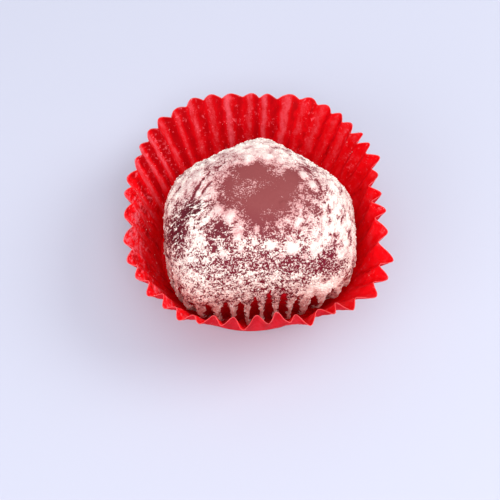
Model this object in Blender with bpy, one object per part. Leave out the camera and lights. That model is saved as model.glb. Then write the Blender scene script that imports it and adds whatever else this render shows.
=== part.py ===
# A soft rice cake dusted with flour, in the fluted paper case that it comes in.
# Metres, +Z up, -Y is the front. The origin lies under the middle of the whole, on the
# surface that the case stands on.
#
# mochi       the cake: a round foot with pleat marks, a five-sided belly and a domed top
# paper_case  one sheet of thin paper: a flat round base and a wall of fluted pleats

import bmesh
import bpy
import numpy as np

MM = 0.001

# The paper case. Its wall is pleated from the base's edge up, and the pleats deepen to the rim.
PLEATS = 42
CASE_BASE_RADIUS = 25.6 * MM
WALL_SLOPE_LENGTH = 24.6 * MM
PAPER_THICKNESS = 0.25 * MM
PLEAT_DEPTH_AT_BASE = 0.5 * MM
FIRST_PLEAT_DEG = 94.4
# Below 2, the folds that point inwards are sharper than those that point outwards
FOLD_POWER = 1.6

# The wall was spread by hand. At each twelfth of a turn from +X, by way of the back: how far
# it leans out from upright, how far its pleats are pulled round, and their depth at the rim.
WALL_LEAN_DEG = (17, 27, 33, 24, 34, 22, 16, 24, 27, 21, 28, 33)
PLEAT_PULL_DEG = (4, 6, -2, -3, -4, -6, -3, 3, 1, 1, 1, 2)
RIM_PLEAT_DEPTH_MM = (3.0, 2.6, 2.0, 1.8, 1.9, 2.2, 2.4, 2.4, 2.6, 2.8, 2.8, 3.0)

# The cake. Its plan at the belly is a polygon with soft corners, one of them at the back.
# Each side has the bearing that it faces and its distance from the middle of the case.
CAKE_HEIGHT = 33.0 * MM
CAKE_TOP = (1.6 * MM, -1.0 * MM)
CAKE_SIDES = (
    (0, 27.0 * MM),
    (55, 20.8 * MM),
    (117, 19.7 * MM),
    (151, 24.5 * MM),
    (182, 23.9 * MM),
    (211, 27.5 * MM),
    (275, 24.2 * MM),
    (310, 30.0 * MM),
)
BELLY_CORNER_SHARPNESS = 14
TOP_CORNER_SHARPNESS = 5
BELLY_HEIGHT = 13.0 * MM
FOOT_RADIUS = 24.4 * MM
DOME_PLAN_POWER = 2.5
DOME_HEIGHT_POWER = 2.2

# The pleats left ribs in the cake's side, which fade out above the belly.
RIB_DEPTH = 2.0 * MM
RIB_FULL_HEIGHT = 7.0 * MM
RIB_END_HEIGHT = 16.0 * MM

# Least gap between the cake and the paper, under its foot and round its side
FOOT_GAP = 0.3 * MM
SIDE_GAP = 0.5 * MM

# How finely each surface is divided
CASE_COLUMNS_PER_PLEAT = 6
CASE_WALL_BANDS = 5
CASE_FLAT_SHARE = 0.93
CAKE_COLUMNS_PER_PLEAT = 4
CAKE_SIDE_BANDS = 6
CAKE_DOME_BANDS = 8
PULL_ROUNDS = 12

CAKE_COLOUR = (0.86, 0.66, 0.62)
PAPER_COLOUR = (0.70, 0.006, 0.012)


def clear_scene():
    for thing in list(bpy.data.objects):
        bpy.data.objects.remove(thing, do_unlink=True)


def plain_material(name, colour, roughness):
    material = bpy.data.materials.new(name)
    material.use_nodes = True
    shader = material.node_tree.nodes["Principled BSDF"]
    shader.inputs["Base Color"].default_value = (*colour, 1.0)
    shader.inputs["Roughness"].default_value = roughness
    shader.inputs["Metallic"].default_value = 0.0
    return material


def floury_rice_material():
    return plain_material("floury_rice", CAKE_COLOUR, 0.9)


def red_paper_material():
    return plain_material("red_paper", PAPER_COLOUR, 0.55)


def round_the_turn(stations, bearings):
    """A smooth closed curve through evenly spaced stations: between two of them it is the
    cubic whose slope at each station is half the step from its neighbour before to the one
    after. Bearings are in degrees."""
    stations = np.asarray(stations, dtype=float)
    count = len(stations)
    place = np.mod(bearings, 360.0) / (360.0 / count)
    before = np.floor(place).astype(int)
    t = place - before
    a, b, c, d = (stations[(before + step) % count] for step in (-1, 0, 1, 2))
    return b + 0.5 * t * (c - a + t * (2 * a - 5 * b + 4 * c - d + t * (3 * b - a - 3 * c + d)))


def pleat_columns(columns_per_pleat):
    """Bearings of evenly shared columns over all the pleats. Each is where an even pleat
    would have it, plus the pull at the place that it ends up in, found by repeating."""
    count = PLEATS * columns_per_pleat
    even = FIRST_PLEAT_DEG + np.arange(count) * 360.0 / count
    bearings = even
    for _ in range(PULL_ROUNDS):
        bearings = even + round_the_turn(PLEAT_PULL_DEG, bearings)
    return bearings


def fold_inwards(bearings):
    """0 on each fold that points outwards and 1 on each that points inwards."""
    even = bearings - round_the_turn(PLEAT_PULL_DEG, bearings)
    half_turn = np.radians(0.5 * PLEATS * (even - FIRST_PLEAT_DEG))
    return 1.0 - np.abs(np.cos(half_turn)) ** FOLD_POWER


def wall_lean(bearings):
    return np.radians(round_the_turn(WALL_LEAN_DEG, bearings))


def pleat_depth(bearings, part_way):
    """Depth from outward folds to inward ones, at a share of the wall's slope."""
    rim = round_the_turn(RIM_PLEAT_DEPTH_MM, bearings) * MM
    return PLEAT_DEPTH_AT_BASE + (rim - PLEAT_DEPTH_AT_BASE) * part_way


def ring(bearings, radii, heights):
    """Points round the case's middle, one for each bearing, as rows of x, y and z."""
    turn = np.radians(bearings)
    columns = (radii * np.cos(turn), radii * np.sin(turn), np.broadcast_to(heights, len(turn)))
    return np.stack(columns, axis=-1)


def case_wall_ring(bearings, part_way):
    """The wall's outer face at a share of its slope: a cone through the outward folds that
    leans by the bearing, moved in by the pleats."""
    lean = wall_lean(bearings)
    along = part_way * WALL_SLOPE_LENGTH
    folds = pleat_depth(bearings, part_way) * fold_inwards(bearings)
    return ring(bearings, CASE_BASE_RADIUS + along * np.sin(lean) - folds, along * np.cos(lean))


def case_middle():
    """Middle of the case's box in plan, seen from the middle of its base."""
    rim = case_wall_ring(pleat_columns(CASE_COLUMNS_PER_PLEAT), 1.0)
    return 0.5 * (rim.min(axis=0) + rim.max(axis=0))[:2]


def rib_depth(height):
    """How far the grooves between the ribs lie back at a height."""
    fade = (RIB_END_HEIGHT - height) / (RIB_END_HEIGHT - RIB_FULL_HEIGHT)
    return RIB_DEPTH * np.clip(fade, 0.0, 1.0)


def cake_plan(bearings, sharpness):
    """Radii of a polygon with soft corners. Each side's pull on a bearing is the cosine
    between them over its distance, and the pulls are added as a high power, which rounds
    the corners."""
    pull = sum(
        np.maximum(0.0, np.cos(np.radians(bearings - faces)) / distance) ** sharpness
        for faces, distance in CAKE_SIDES
    )
    return pull ** (-1.0 / sharpness)


def cake_side_ring(bearings, part_way):
    """From the round foot to the belly: the plan swells out as a quarter of an ellipse. The
    case holds it in, and it is set back between the ribs."""
    floor = PAPER_THICKNESS + FOOT_GAP
    height = floor + (BELLY_HEIGHT - floor) * part_way
    swell = np.sqrt(1.0 - (1.0 - part_way) ** 2)
    belly = cake_plan(bearings, BELLY_CORNER_SHARPNESS)
    radii = FOOT_RADIUS + (belly - FOOT_RADIUS) * swell
    return ring(bearings, pressed_by_case(bearings, radii, height), height)


def cake_dome_ring(bearings, part_way):
    """From the belly to the top: the plan shrinks towards the top's place as the height
    grows, along a curve fuller than an ellipse, and its corners soften."""
    turn = 0.5 * np.pi * part_way
    shrink = np.cos(turn) ** (2.0 / DOME_PLAN_POWER)
    rise = np.sin(turn) ** (2.0 / DOME_HEIGHT_POWER)
    height = BELLY_HEIGHT + (CAKE_HEIGHT - BELLY_HEIGHT) * rise
    softening = (TOP_CORNER_SHARPNESS - BELLY_CORNER_SHARPNESS) * part_way
    plan = cake_plan(bearings, BELLY_CORNER_SHARPNESS + softening)
    points = ring(bearings, pressed_by_case(bearings, plan, height) * shrink, height)
    points[:, :2] += np.asarray(CAKE_TOP) * (1.0 - shrink)
    return points


def pressed_by_case(bearings, radii, height):
    """Keeps a level outline inside the case and sets it back between the ribs. Where the
    pleats are deeper than the grooves, the outline stays clear of their inward folds."""
    lean = wall_lean(bearings)
    part_way = np.minimum(height / (WALL_SLOPE_LENGTH * np.cos(lean)), 1.0)
    inner = CASE_BASE_RADIUS + height * np.tan(lean) - PAPER_THICKNESS / np.cos(lean)
    groove = rib_depth(height)
    proud_folds = np.maximum(0.0, pleat_depth(bearings, part_way) - groove)
    return np.minimum(radii, inner - SIDE_GAP - proud_folds) - groove * fold_inwards(bearings)


def loft(rings, low_middle, high_middle=None):
    """A surface through rings of points from low to high. Its low end is closed by a fan
    round a middle point, and so is its high end if a middle is given for it."""
    mesh = bmesh.new()
    loops = [[mesh.verts.new(point) for point in points] for points in rings]
    count = len(loops[0])
    for low, high in zip(loops, loops[1:]):
        for i in range(count):
            j = (i + 1) % count
            mesh.faces.new((low[i], low[j], high[j], high[i]))
    low_point = mesh.verts.new(low_middle)
    for i in range(count):
        mesh.faces.new((loops[0][(i + 1) % count], loops[0][i], low_point))
    if high_middle is not None:
        high_point = mesh.verts.new(high_middle)
        for i in range(count):
            mesh.faces.new((loops[-1][i], loops[-1][(i + 1) % count], high_point))
    bmesh.ops.triangulate(mesh, faces=mesh.faces[:])
    return mesh


def add_object(name, mesh, material, place):
    data = bpy.data.meshes.new(name)
    mesh.to_mesh(data)
    mesh.free()
    data.materials.append(material)
    data.shade_smooth()
    thing = bpy.data.objects.new(name, data)
    thing.location = place
    bpy.context.collection.objects.link(thing)
    return thing


def add_paper_case(place):
    """The outer face of the sheet, which a Solidify modifier gives its thickness inwards."""
    bearings = pleat_columns(CASE_COLUMNS_PER_PLEAT)
    base_flat = ring(bearings, CASE_FLAT_SHARE * CASE_BASE_RADIUS, 0.0)
    shares = np.linspace(0.0, 1.0, CASE_WALL_BANDS + 1)
    rings = [base_flat] + [case_wall_ring(bearings, share) for share in shares]
    case = add_object("paper_case", loft(rings, (0.0, 0.0, 0.0)), red_paper_material(), place)
    wall = case.modifiers.new("paper thickness", "SOLIDIFY")
    wall.thickness = PAPER_THICKNESS
    wall.offset = -1.0
    wall.use_even_offset = True


def add_mochi(place):
    bearings = pleat_columns(CAKE_COLUMNS_PER_PLEAT)
    side = np.linspace(0.0, 1.0, CAKE_SIDE_BANDS + 1)
    dome = np.linspace(0.0, 1.0, CAKE_DOME_BANDS + 1)
    rings = [cake_side_ring(bearings, share) for share in side]
    rings += [cake_dome_ring(bearings, share) for share in dome[1:-1]]
    low_middle = (0.0, 0.0, PAPER_THICKNESS + FOOT_GAP)
    high_middle = (*CAKE_TOP, CAKE_HEIGHT)
    add_object("mochi", loft(rings, low_middle, high_middle), floury_rice_material(), place)


def main():
    clear_scene()
    middle = case_middle()
    place = (-middle[0], -middle[1], 0.0)
    add_paper_case(place)
    add_mochi(place)


main()
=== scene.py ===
# The looks of a flour-dusted rice cake in its spread red paper case.
# Lengths named in millimetres are turned into metres where they enter a mesh.

import math

import bmesh
import bpy
import numpy as np
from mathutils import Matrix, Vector


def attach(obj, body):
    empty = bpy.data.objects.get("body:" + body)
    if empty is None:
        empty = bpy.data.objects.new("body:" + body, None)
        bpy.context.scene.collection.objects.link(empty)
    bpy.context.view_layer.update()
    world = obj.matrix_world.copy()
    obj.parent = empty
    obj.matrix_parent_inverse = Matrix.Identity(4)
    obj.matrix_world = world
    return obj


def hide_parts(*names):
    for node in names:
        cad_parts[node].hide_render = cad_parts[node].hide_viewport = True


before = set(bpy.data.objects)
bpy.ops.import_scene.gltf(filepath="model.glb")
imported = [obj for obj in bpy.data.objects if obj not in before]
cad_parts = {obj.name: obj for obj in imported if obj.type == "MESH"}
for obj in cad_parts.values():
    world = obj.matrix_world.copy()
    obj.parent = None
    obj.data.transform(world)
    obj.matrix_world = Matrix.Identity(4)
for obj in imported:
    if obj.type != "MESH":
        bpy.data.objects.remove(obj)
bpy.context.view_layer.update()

MM = 0.001

# The case, as its solid has it
PLEATS = 42
CASE_BASE_RADIUS = 25.6
WALL_SLOPE_LENGTH = 24.6
PLEAT_DEPTH_AT_BASE = 0.5
FIRST_PLEAT_DEG = 94.4
FOLD_POWER = 1.6
WALL_LEAN_DEG = (17, 27, 33, 24, 34, 22, 16, 24, 27, 21, 28, 33)
PLEAT_PULL_DEG = (4, 6, -2, -3, -4, -6, -3, 3, 1, 1, 1, 2)
RIM_PLEAT_DEPTH = (3.0, 2.6, 2.0, 1.8, 1.9, 2.2, 2.4, 2.4, 2.6, 2.8, 2.8, 3.0)
PULL_ROUNDS = 12
SOLID_COLUMNS_PER_PLEAT = 6

# The cake, as its solid has it
CAKE_HEIGHT = 33.0
CAKE_FLOOR = 0.55
CAKE_TOP = (1.6, -1.0)
CAKE_SIDES = (
    (0, 27.0), (55, 20.8), (117, 19.7), (151, 24.5),
    (182, 23.9), (211, 27.5), (275, 24.2), (310, 30.0),
)
BELLY_CORNER_SHARPNESS = 14
TOP_CORNER_SHARPNESS = 5
BELLY_HEIGHT = 13.0
FOOT_RADIUS = 24.4
DOME_PLAN_POWER = 2.5
DOME_HEIGHT_POWER = 2.2
RIB_DEPTH = 2.0
RIB_FULL_HEIGHT = 7.0
RIB_END_HEIGHT = 16.0
SIDE_GAP = 0.5
SOLID_PAPER = 0.25

# The paper as shown, and the most that one pleat's random value may be
PAPER = 0.12
MOST_UNLIKE = 1.8

# The camera: how high it looks from, how far off, the nearest that it sees, and the place that
# it looks at; then the photo's width in pixels, and its scale at a distance
CAMERA_ELEVATION_DEG = 61.0
CAMERA_DISTANCE = 252.0
CAMERA_NEAREST = 10.0
CAMERA_TARGET = (-0.78, -1.21)
PHOTO_WIDTH = 500
PIXELS_PER_MM = 3.84
SCALE_DISTANCE = 236.0
SENSOR_WIDTH_MM = 36.0


def ease(values, low, high):
    """0 below low, 1 above high, and a smooth S between them."""
    t = np.clip((values - low) / (high - low), 0.0, 1.0)
    return t * t * (3.0 - 2.0 * t)


# The noises' random tables have this many entries, a power of two, and the gain brings a
# noise to about 1 at most
NOISE_TABLE = 256
NOISE_GAIN = 1.6


def table_entry(order, cell):
    """The table's entry for a cell: its order looked up once for each axis, each time with
    what the axis before gave added."""
    last = NOISE_TABLE - 1
    across, along, up = np.moveaxis(cell & last, -1, 0)
    return order[(order[(order[across] + along) & last] + up) & last]


def lattice_noise(points, size, seed):
    """Smooth random field, about -1 to 1. Each corner of a cubic lattice has a random slope;
    a point adds up its eight corners' slopes times its offsets from them, with eased
    weights."""
    draw = np.random.default_rng(seed)
    slopes = draw.normal(size=(NOISE_TABLE, 3))
    slopes /= np.linalg.norm(slopes, axis=1, keepdims=True)
    order = draw.permutation(NOISE_TABLE)
    place = points / size
    cell = np.floor(place).astype(int)
    offset = place - cell
    weight = offset ** 3 * (offset * (6.0 * offset - 15.0) + 10.0)
    total = np.zeros(points.shape[:-1])
    for corner in np.ndindex(2, 2, 2):
        step = np.array(corner)
        slope = slopes[table_entry(order, cell + step)]
        share = np.prod(np.where(step == 1, weight, 1.0 - weight), axis=-1)
        total += share * ((offset - step) * slope).sum(axis=-1)
    return NOISE_GAIN * total


def layered_noise(points, size, layers, seed):
    """Sum of lattice noises, each half the size and half the strength of the one before."""
    total = 0.0
    for layer in range(layers):
        total = total + lattice_noise(points, size * 0.5 ** layer, seed + layer) * 0.5 ** layer
    return total


def cell_noise(points, size, seed):
    """Distance to the nearest of many random spots, one in each cube of a lattice, in cubes:
    0 on a spot and about 0.5 to 1 on the seams between two spots' places."""
    draw = np.random.default_rng(seed)
    spots = draw.random(size=(NOISE_TABLE, 3))
    order = draw.permutation(NOISE_TABLE)
    place = points / size
    cell = np.floor(place).astype(int)
    nearest = np.full(points.shape[:-1], np.inf)
    for corner in np.ndindex(3, 3, 3):
        step = np.array(corner) - 1
        away = cell + step + spots[table_entry(order, cell + step)] - place
        nearest = np.minimum(nearest, (away ** 2).sum(axis=-1))
    return np.sqrt(nearest)


def round_the_turn(stations, bearings):
    """A smooth closed curve through evenly spaced stations: between two of them it is the
    cubic whose slope at each station is half the step from its neighbour before to the one
    after. Bearings are in degrees."""
    stations = np.asarray(stations, dtype=float)
    count = len(stations)
    place = np.mod(bearings, 360.0) / (360.0 / count)
    before = np.floor(place).astype(int)
    t = place - before
    a, b, c, d = (stations[(before + step) % count] for step in (-1, 0, 1, 2))
    return b + 0.5 * t * (c - a + t * (2 * a - 5 * b + 4 * c - d + t * (3 * b - a - 3 * c + d)))


def pleat_columns(columns_per_pleat):
    """Bearings of evenly shared columns over all the pleats. Each is where an even pleat
    would have it, plus the pull at the place that it ends up in, found by repeating."""
    count = PLEATS * columns_per_pleat
    even = FIRST_PLEAT_DEG + np.arange(count) * 360.0 / count
    bearings = even
    for _ in range(PULL_ROUNDS):
        bearings = even + round_the_turn(PLEAT_PULL_DEG, bearings)
    return bearings


def even_bearings(bearings):
    """Where bearings would be if the pleats were evenly shared, from the first fold on."""
    return bearings - round_the_turn(PLEAT_PULL_DEG, bearings) - FIRST_PLEAT_DEG


def fold_inwards(bearings):
    """0 on each fold that points outwards and 1 on each that points inwards."""
    half_turn = np.radians(0.5 * PLEATS * even_bearings(bearings))
    return 1.0 - np.abs(np.cos(half_turn)) ** FOLD_POWER


def by_pleat(bearings, seed):
    """A random value for each pleat, running smoothly from one to the next."""
    draw = np.random.default_rng(seed)
    values = np.clip(draw.normal(size=PLEATS), -MOST_UNLIKE, MOST_UNLIKE)
    return round_the_turn(values, even_bearings(bearings))


def wall_lean(bearings):
    """How far the wall leans out from upright, in radians."""
    return np.radians(round_the_turn(WALL_LEAN_DEG, bearings))


def pleat_depth(bearings, part_way):
    """Depth from outward folds to inward ones, at a share of the wall's slope."""
    rim = round_the_turn(RIM_PLEAT_DEPTH, bearings)
    return PLEAT_DEPTH_AT_BASE + (rim - PLEAT_DEPTH_AT_BASE) * part_way


def around(bearings, radii, heights):
    """Points round the case's middle as an array of x, y and z in millimetres."""
    turn = np.radians(bearings)
    x, y, z = np.broadcast_arrays(radii * np.cos(turn), radii * np.sin(turn), heights)
    return np.stack([x, y, z], axis=-1)


def case_wall(bearings, part_way):
    """The wall's outer face: a cone through the outward folds that leans by the bearing,
    moved in by the pleats, for bearings along a row and shares of the slope down a column."""
    lean = wall_lean(bearings)
    along = part_way * WALL_SLOPE_LENGTH
    folds = pleat_depth(bearings, part_way) * fold_inwards(bearings)
    return around(bearings, CASE_BASE_RADIUS + along * np.sin(lean) - folds, along * np.cos(lean))


def case_middle():
    """Middle of the case's box in plan, seen from the middle of its base."""
    rim = case_wall(pleat_columns(SOLID_COLUMNS_PER_PLEAT), 1.0)
    return 0.5 * (rim.min(axis=0) + rim.max(axis=0))[:2]


CASE_CENTRE = np.array([*-case_middle(), 0.0])


def rib_depth(height):
    """How far the grooves between the ribs lie back at a height."""
    fade = (RIB_END_HEIGHT - height) / (RIB_END_HEIGHT - RIB_FULL_HEIGHT)
    return RIB_DEPTH * np.clip(fade, 0.0, 1.0)


def cake_plan(bearings, sharpness):
    """Radii of a polygon with soft corners. Each side's pull on a bearing is the cosine
    between them over its distance, and the pulls are added as a high power, which rounds
    the corners."""
    pull = sum(
        np.maximum(0.0, np.cos(np.radians(bearings - faces)) / distance) ** sharpness
        for faces, distance in CAKE_SIDES
    )
    return pull ** (-1.0 / sharpness)


def pressed_by_case(bearings, radii, height):
    """Keeps an outline inside the case and sets it back between the ribs. Where the pleats
    are deeper than the grooves, it stays clear of their inward folds."""
    lean = wall_lean(bearings)
    part_way = np.minimum(height / (WALL_SLOPE_LENGTH * np.cos(lean)), 1.0)
    inner = CASE_BASE_RADIUS + height * np.tan(lean) - SOLID_PAPER / np.cos(lean)
    groove = rib_depth(height)
    proud_folds = np.maximum(0.0, pleat_depth(bearings, part_way) - groove)
    return np.minimum(radii, inner - SIDE_GAP - proud_folds) - groove * fold_inwards(bearings)


def cake_side(bearings, part_way):
    """From the round foot to the belly: the plan swells out as a quarter of an ellipse."""
    height = CAKE_FLOOR + (BELLY_HEIGHT - CAKE_FLOOR) * part_way
    swell = np.sqrt(1.0 - (1.0 - part_way) ** 2)
    belly = cake_plan(bearings, BELLY_CORNER_SHARPNESS)
    radii = FOOT_RADIUS + (belly - FOOT_RADIUS) * swell
    return around(bearings, pressed_by_case(bearings, radii, height), height)


def cake_dome(bearings, part_way):
    """From the belly to the top: the plan shrinks towards the top's place as the height
    grows, along a curve fuller than an ellipse, and its corners soften."""
    turn = 0.5 * np.pi * part_way
    shrink = np.cos(turn) ** (2.0 / DOME_PLAN_POWER)
    rise = np.sin(turn) ** (2.0 / DOME_HEIGHT_POWER)
    height = BELLY_HEIGHT + (CAKE_HEIGHT - BELLY_HEIGHT) * rise
    softening = (TOP_CORNER_SHARPNESS - BELLY_CORNER_SHARPNESS) * part_way
    plan = cake_plan(bearings, BELLY_CORNER_SHARPNESS + softening)
    points = around(bearings, pressed_by_case(bearings, plan, height) * shrink, height)
    points[..., :2] += np.asarray(CAKE_TOP) * (1.0 - shrink)[..., None]
    return points


def grid_crosses(points):
    """The cross product of the steps along a row and along a column, on a grid whose rows
    climb and whose columns run anticlockwise and close on themselves. It points outwards and
    is as long as the area there."""
    along_row = np.roll(points, -1, axis=1) - np.roll(points, 1, axis=1)
    return np.cross(along_row, np.gradient(points, axis=0))


def grid_normals(points):
    """Outward directions on such a grid, of length 1."""
    crossed = grid_crosses(points)
    return crossed / np.maximum(np.linalg.norm(crossed, axis=-1, keepdims=True), 1e-12)


def closed_grid(name, points, first_pole, last_pole, marks):
    """A mesh of a grid of points in millimetres round the case's middle. Each row is a closed
    ring, and a fan round a pole shuts either end. Marks are named values, one a point."""
    rows, columns = points.shape[:2]
    vertices = np.concatenate([points.reshape(-1, 3), [first_pole], [last_pole]])
    index = np.arange(rows * columns).reshape(rows, columns)
    after = np.roll(index, -1, axis=1)
    quads = np.stack([index[:-1], after[:-1], after[1:], index[1:]], axis=-1).reshape(-1, 4)
    low = np.stack([after[0], index[0], np.full(columns, rows * columns)], axis=-1)
    high = np.stack([index[-1], after[-1], np.full(columns, rows * columns + 1)], axis=-1)
    corners = np.concatenate([quads.ravel(), low.ravel(), high.ravel()])
    sizes = np.concatenate([np.full(len(quads), 4), np.full(2 * columns, 3)])
    values = {
        key: np.concatenate([value.ravel(), [value[0].mean()], [value[-1].mean()]])
        for key, value in marks.items()
    }
    return shaped_mesh(name, (vertices + CASE_CENTRE) * MM, corners, sizes, values)


def shaped_mesh(name, vertices, corners, sizes, marks):
    """Puts whole arrays into a new object: vertices in metres, the corners of all faces in a
    row, how many corners each face has, and named values for the vertices."""
    mesh = bpy.data.meshes.new(name)
    mesh.vertices.add(len(vertices))
    mesh.vertices.foreach_set("co", vertices.astype(np.float32).ravel())
    mesh.loops.add(len(corners))
    mesh.loops.foreach_set("vertex_index", corners.astype(np.int32))
    mesh.polygons.add(len(sizes))
    starts = np.concatenate([[0], np.cumsum(sizes)[:-1]])
    mesh.polygons.foreach_set("loop_start", starts.astype(np.int32))
    mesh.polygons.foreach_set("use_smooth", np.ones(len(sizes), dtype=bool))
    for key, value in marks.items():
        layer = mesh.attributes.new(key, "FLOAT", "POINT")
        layer.data.foreach_set("value", value.astype(np.float32))
    mesh.update(calc_edges=True)
    mesh.validate()
    thing = bpy.data.objects.new(name, mesh)
    bpy.context.collection.objects.link(thing)
    return thing


class Field:
    """A value or colour that runs through a material's nodes. Adding, taking away or
    multiplying adds the Math node that does it."""

    def __init__(self, paint, socket):
        self.paint = paint
        self.socket = socket

    def _with(self, operation, first, second):
        return self.paint.add("ShaderNodeMath", {"operation": operation}, {0: first, 1: second})

    def __add__(self, other):
        return self._with("ADD", self, other)

    def __radd__(self, other):
        return self._with("ADD", other, self)

    def __sub__(self, other):
        return self._with("SUBTRACT", self, other)

    def __rsub__(self, other):
        return self._with("SUBTRACT", other, self)

    def __mul__(self, other):
        return self._with("MULTIPLY", self, other)

    def __rmul__(self, other):
        return self._with("MULTIPLY", other, self)


class Paint:
    """A new material, whose nodes are added by name, settings and sockets."""

    def __init__(self, name):
        self.material = bpy.data.materials.new(name)
        self.material.use_nodes = True
        self.tree = self.material.node_tree
        self.tree.nodes.clear()
        self.place = self.add("ShaderNodeTexCoord", output="Object")

    def add(self, kind, settings=None, sockets=None, output=0):
        """A new node of a kind: its settings first, then its sockets' values or links."""
        node = self.tree.nodes.new(kind)
        for key, value in (settings or {}).items():
            setattr(node, key, value)
        for key, value in (sockets or {}).items():
            if isinstance(value, Field):
                self.tree.links.new(value.socket, node.inputs[key])
            else:
                node.inputs[key].default_value = value
        return Field(self, node.outputs[output])

    def mark(self, name):
        """A named value that the piece's own points carry."""
        return self.add("ShaderNodeAttribute", {"attribute_name": name}, output="Fac")

    def drawn_out(self, axis, times):
        """Places squeezed along an axis, so that a pattern comes out drawn out along it."""
        axis = Vector(axis).normalized()
        along = self.vectors("DOT_PRODUCT", {0: self.place, 1: axis}, output="Value")
        pull = self.vectors("SCALE", {0: axis, "Scale": along * (1.0 - 1.0 / times)})
        return self.vectors("SUBTRACT", {0: self.place, 1: pull})

    def vectors(self, operation, sockets, output="Vector"):
        return self.add("ShaderNodeVectorMath", {"operation": operation}, sockets, output)

    def noise(self, pattern, place=None):
        """Noise of a pattern, from about -0.25 to 0.25."""
        size, detail, roughness = pattern
        return self.add("ShaderNodeTexNoise", None, {
            "Vector": place or self.place, "Scale": 1.0 / (size * MM), "Detail": detail,
            "Roughness": roughness,
        }) - 0.5

    def ease(self, value, low, high):
        """0 below low, 1 above high, and a smooth S between them."""
        return self.add("ShaderNodeMapRange", {"interpolation_type": "SMOOTHSTEP"}, {
            "Value": value, "From Min": low, "From Max": high,
        })

    def blend(self, share, first, second):
        """Mixes two colours: all of the first at share 0, all of the second at 1."""
        def colour(value):
            return value if isinstance(value, Field) else (*value, 1.0)
        return self.add("ShaderNodeMix", {"data_type": "RGBA"}, {
            0: share, 6: colour(first), 7: colour(second),
        }, output=2)

    def bump(self, height, depth_mm):
        """The normal of a surface raised by a height of 0 to 1 times a depth."""
        return self.add("ShaderNodeBump", None, {"Height": height, "Distance": depth_mm * MM})

    def finish(self, sockets):
        """Ends the nodes in a shader with these sockets, and gives the material."""
        surface = self.add("ShaderNodeBsdfPrincipled", None, sockets)
        output = self.tree.nodes.new("ShaderNodeOutputMaterial")
        self.tree.links.new(surface.socket, output.inputs["Surface"])
        return self.material


# Colours of the surfaces, in linear light
DARK_DOUGH = (0.15, 0.005, 0.018)
ROSE_DOUGH = (0.235, 0.050, 0.052)
CRACK_DOUGH = (0.075, 0.002, 0.009)
# Dough in the grooves, painted brighter and redder than the dough elsewhere, as a glow of the
# light that the red paper throws there
RED_GLOW_GROOVE_DOUGH = (0.46, 0.003, 0.010)
THIN_FLOUR = (0.56, 0.26, 0.26)
SOFT_FLOUR = (0.75, 0.55, 0.52)
FLOUR = (0.88, 0.80, 0.72)
HEAPED_FLOUR = (0.95, 0.91, 0.82)
OUTER_RED = (0.66, 0.008, 0.018)
# A deep red for shade painted on the paper
PAINTED_SHADE_RED = (0.44, 0.0, 0.003)
PAPER_RED = (0.85, 0.001, 0.004)
PAPER_LIGHT_RED = (0.92, 0.002, 0.009)
# A pale pinkish red for the sheen painted up the lit side of the paper's folds
PAINTED_SHEEN_PAPER = (0.74, 0.095, 0.125)
DUSTED_PAPER = (0.92, 0.17, 0.22)
# A light pink for the highlight painted along the paper's cut edge
PAINTED_EDGE_HIGHLIGHT = (0.95, 0.38, 0.38)
GRAIN_SHADE = (0.90, 0.80, 0.76)
GRAIN_LIGHT = (0.95, 0.91, 0.86)
FLOOR_GREY = (0.50, 0.52, 0.63, 1.0)

# Patterns in the materials: each noise's size in millimetres, how many finer layers it has and
# how strong each is beside the one before
SPECKS = (0.78, 2.0, 0.8)
DOTS = (0.36, 1.0, 0.5)
SPECK_CLUMPS = (2.0, 3.0, 0.6)
THIN_FLAKES = (0.8, 2.0, 0.65)
STREAKS = (1.1, 2.0, 0.65)
TINTS = (1.5, 2.0, 0.5)
FIBRES = (0.55, 4.0, 0.7)
PATCHES = (3.0, 3.0, 0.6)
SCUFFS = (1.6, 3.0, 0.6)
MOTTLING = (1.0, 3.0, 0.65)

# Places on the cake, in millimetres from the case's middle, and reaches along each axis.
# The bare patch is a union of ellipses seen from above: middles and half widths
BARE_SPOTS = (
    ((0.0, 2.8), (4.4, 2.2)),
    ((-5.2, -1.8), (2.0, 3.0)),
    ((1.6, -6.6), (4.0, 4.5)),
    ((5.4, -5.6), (2.6, 2.6)),
    ((9.4, 1.4), (1.7, 2.8)),
    ((3.8, -1.6), (5.6, 4.6)),
    ((-2.0, -2.6), (4.6, 3.6)),
)
# Where a thin veil of flour lies on it: strength, place, reach
VEILED_SPOTS = (
    (1.00, (-2.3, -2.6, 32.8), (3.4, 2.6, 3.0)),
    (0.45, (2.5, -0.4, 32.8), (5.0, 1.6, 3.0)),
    (0.95, (6.0, 2.8, 32.6), (1.9, 1.4, 3.0)),
    (0.60, (3.6, -8.6, 32.2), (2.6, 1.2, 3.0)),
)
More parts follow.
